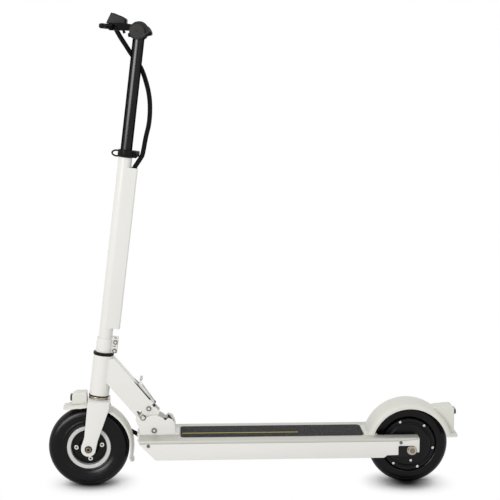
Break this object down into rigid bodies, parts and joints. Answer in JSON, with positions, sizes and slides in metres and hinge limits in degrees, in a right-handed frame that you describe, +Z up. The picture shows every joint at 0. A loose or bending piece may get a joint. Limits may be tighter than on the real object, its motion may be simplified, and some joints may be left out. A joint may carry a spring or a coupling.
{
  "type": "electric scooter",
  "caption": "Folding electric kick scooter with small solid tyres, running board, telescopic bar post, fenders, lights, hub motor and a latch at the foot of the mast.",
  "frame": {"origin": "on the ground, in the middle of the overall length and width", "axes": "+Z up; the front of the scooter points to -X, its left side to -Y"},
  "size_m": [1.021, 0.464, 1.1651],
  "materials": {
    "white_paint": "smooth powder coat, satin",
    "cream_plastic": "moulded, soft gloss",
    "silver_plate": "satin anodised",
    "bright_steel": "bright zinc",
    "motor_iron": "laminated",
    "rim_silver": "polished",
    "black_gloss": "high gloss",
    "black_matte": "moulded, matte",
    "black_steel": "satin black",
    "tyre_rubber": "smooth solid rubber",
    "loom_rubber": "matte sleeve",
    "grip_rubber": "soft matte",
    "dark_grit": "gritty tape",
    "screen_glass": "glossy window",
    "clear_lens": "smoked lens",
    "red_lens": "dark red lens",
    "grey_plastic": "moulded, matte",
    "battery_wrap": "shrink wrap"
  },
  "bodies": {
    "deck": {"deck_tray": "white_paint", "deck_plate": "silver_plate", "grip_tape": "dark_grit", "battery_pack": "battery_wrap", "controller": "black_matte", "charge_port": "black_matte", "fold_bracket": "white_paint", "fold_pivot_bolt": "bright_steel", "rear_fender": "cream_plastic", "tail_light_housing": "cream_plastic", "tail_light_lens": "red_lens", "dropout_left": "black_steel", "dropout_right": "black_steel", "rear_axle": "bright_steel", "axle_nut_left": "bright_steel", "axle_nut_right": "bright_steel", "motor_stator": "motor_iron"},
    "front_frame": {"head_frame": "white_paint", "upper_headset_cup": "black_matte", "lower_headset_cup": "black_matte", "upper_bearing": "bright_steel", "lower_bearing": "bright_steel", "lever_pivot_bolt": "bright_steel", "lower_loom": "loom_rubber"},
    "release": {"release_lever": "white_paint", "latch_pin": "bright_steel", "lever_tip": "grey_plastic"},
    "steering": {"fork": "white_paint", "crown_race": "bright_steel", "front_fender": "cream_plastic", "headlight_housing": "cream_plastic", "headlight_lens": "clear_lens", "front_axle": "bright_steel", "front_axle_nut": "bright_steel", "mast": "white_paint", "stem_collar": "white_paint", "collar_bolt_upper": "black_steel", "collar_bolt_lower": "black_steel", "height_clamp": "black_matte", "clamp_skewer": "bright_steel"},
    "quick_release": {"quick_release_lever": "black_matte"},
    "height_post": {"post_tube": "black_gloss", "handlebar": "black_gloss", "left_grip": "grip_rubber", "right_grip": "grip_rubber", "display_housing": "black_matte", "display_screen": "screen_glass", "brake_perch": "black_matte", "throttle_housing": "black_matte", "upper_loom": "loom_rubber"},
    "display_button": {"display_button": "grey_plastic"},
    "brake_lever": {"brake_lever": "black_matte"},
    "throttle": {"throttle_lever": "black_matte"},
    "front_wheel": {"front_tyre": "tyre_rubber", "front_rim": "rim_silver", "front_bearing_left": "bright_steel", "front_bearing_right": "bright_steel"},
    "rear_wheel": {"rear_tyre": "tyre_rubber", "motor_shell": "black_steel", "motor_cover": "black_steel"}
  },
  "joints": [
    {"name": "fold", "type": "hinge", "parent": "deck", "child": "front_frame", "pos_m": [-0.2485, 0, 0.144], "axis": [0, 1, 0], "range_deg": [0, 82.4], "deforming": ["lower_loom"]},
    {"name": "release", "type": "hinge", "parent": "front_frame", "child": "release", "pos_m": [-0.2615, 0, 0.197], "axis": [0, 1, 0], "range_deg": [0, 30], "stiffness_Nm_per_rad": 1.5, "springref_deg": -14.32},
    {"name": "steering", "type": "hinge", "parent": "front_frame", "child": "steering", "pos_m": [-0.37862, 0, 0.27996], "axis": [0.1201, 0, 0.9928], "range_deg": [-45, 45], "deforming": ["lower_loom"]},
    {"name": "height", "type": "slide", "parent": "steering", "child": "height_post", "axis": [0.1201, 0, 0.9928], "range_m": [-0.2, 0], "deforming": ["upper_loom"]},
    {"name": "quick_release", "type": "hinge", "parent": "steering", "child": "quick_release", "pos_m": [-0.28401, 0.0155, 0.82454], "axis": [-0.1201, 0, -0.9928], "range_deg": [0, 120]},
    {"name": "front_wheel_spin", "type": "hinge", "parent": "steering", "child": "front_wheel", "pos_m": [-0.4105, 0, 0.1], "axis": [0, 1, 0], "continuous": true},
    {"name": "rear_wheel_spin", "type": "hinge", "parent": "deck", "child": "rear_wheel", "pos_m": [0.3865, 0, 0.1], "axis": [0, 1, 0], "continuous": true},
    {"name": "brake", "type": "hinge", "parent": "height_post", "child": "brake_lever", "pos_m": [-0.3375, -0.096, 1.1306], "axis": [0, 0, 1], "range_deg": [0, 20], "stiffness_Nm_per_rad": 1.5, "springref_deg": -8.59},
    {"name": "throttle", "type": "hinge", "parent": "height_post", "child": "throttle", "pos_m": [-0.2771, 0.106, 1.119], "axis": [0, 1, 0], "range_deg": [0, 25], "stiffness_Nm_per_rad": 0.6, "springref_deg": -11.46},
    {"name": "display_button", "type": "slide", "parent": "height_post", "child": "display_button", "axis": [-1, 0, 0], "range_m": [0, 0.0012], "stiffness_N_per_m": 350, "springref_m": -0.0005}
  ]
}
